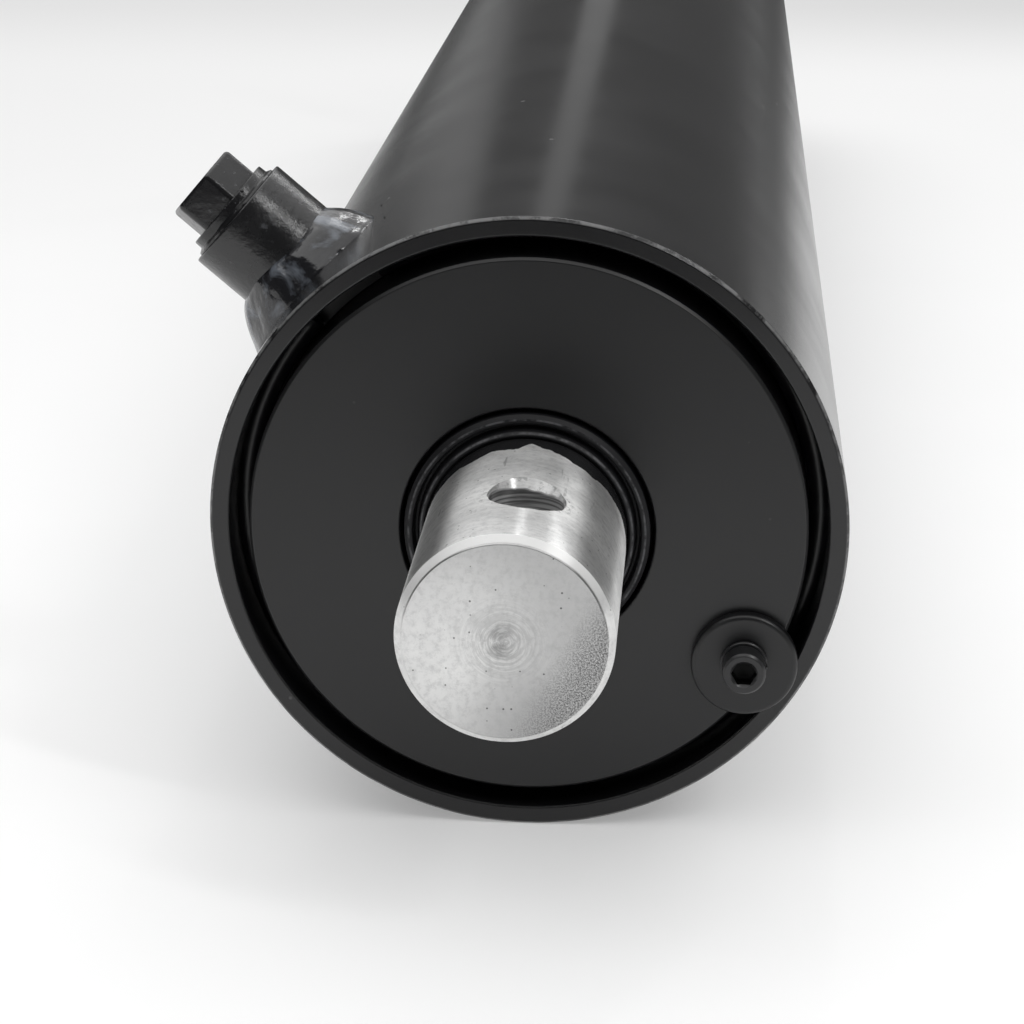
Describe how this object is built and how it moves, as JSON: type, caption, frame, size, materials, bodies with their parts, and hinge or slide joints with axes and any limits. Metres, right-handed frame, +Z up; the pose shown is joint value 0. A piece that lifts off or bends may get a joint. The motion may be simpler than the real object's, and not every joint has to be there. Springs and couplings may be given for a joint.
{
  "type": "hydraulic cylinder",
  "caption": "Double-acting welded hydraulic cylinder: black barrel with plugged ports, ring-retained gland, plain rod with a cross hole and a cross tube base mount.",
  "frame": {"origin": "centre of the rod's flat end face, with the rod fully retracted", "axes": "the cylinder's axis runs along Y, with the rod pointing along -Y and the base mount at the +Y end; +Z is up as the cylinder lies on its barrel, with both ports at the upper left seen from the rod's end"},
  "size_m": [0.1119, 0.6499, 0.1046],
  "materials": {
    "barrel_paint": "satin black paint on drawn steel tube",
    "cap_paint": "satin black paint on turned steel",
    "cross_tube_paint": "satin black paint on steel tube",
    "weld_paint": "glossy black paint over a rippled weld bead",
    "boss_paint": "semi-gloss black paint on turned steel",
    "plug_paint": "black paint over a moulded plug",
    "gland_paint": "matt black paint on turned iron",
    "washer_paint": "matt black paint on a plate washer",
    "fastener_paint": "black paint over black oxide",
    "ring_wire": "black spring wire",
    "rod_steel": "ground bare steel, oiled, with fine turning marks",
    "piston_iron": "turned grey iron, oiled",
    "nut_steel": "plain oiled steel",
    "black_rubber": "matt nitrile rubber",
    "wiper_rubber": "satin black nitrile rubber",
    "seal_plastic": "satin black polyurethane",
    "bearing_plastic": "dull red-brown glass-filled nylon"
  },
  "bodies": {
    "barrel": {"barrel_tube": "barrel_paint", "base_cap": "cap_paint", "base_cap_weld": "weld_paint", "cross_tube": "cross_tube_paint", "cross_tube_weld_top": "weld_paint", "cross_tube_weld_bottom": "weld_paint", "rod_port_boss": "boss_paint", "rod_port_weld": "weld_paint", "rod_port_seal": "black_rubber", "rod_port_plug": "plug_paint", "base_port_boss": "boss_paint", "base_port_weld": "weld_paint", "base_port_seal": "black_rubber", "base_port_plug": "plug_paint", "gland": "gland_paint", "gland_o_ring": "black_rubber", "gland_backup_ring": "bearing_plastic", "rod_wear_ring": "bearing_plastic", "rod_seal": "seal_plastic", "rod_wiper": "wiper_rubber", "retaining_ring": "ring_wire", "retaining_washer": "washer_paint", "lock_washer": "fastener_paint", "lock_screw": "fastener_paint"},
    "piston_seals": {"piston_seal": "seal_plastic", "piston_energizer": "black_rubber", "piston_wear_ring_front": "bearing_plastic", "piston_wear_ring_rear": "bearing_plastic"},
    "rod": {"rod": "rod_steel", "piston": "piston_iron", "piston_o_ring": "black_rubber", "piston_nut": "nut_steel"}
  },
  "joints": [
    {"name": "rod_slide", "type": "slide", "parent": "barrel", "child": "piston_seals", "axis": [0, -1, 0], "range_m": [0, 0.4572]},
    {"name": "rod_turn", "type": "hinge", "parent": "piston_seals", "child": "rod", "pos_m": [0, 0, 0], "axis": [0, -1, 0], "continuous": true}
  ]
}
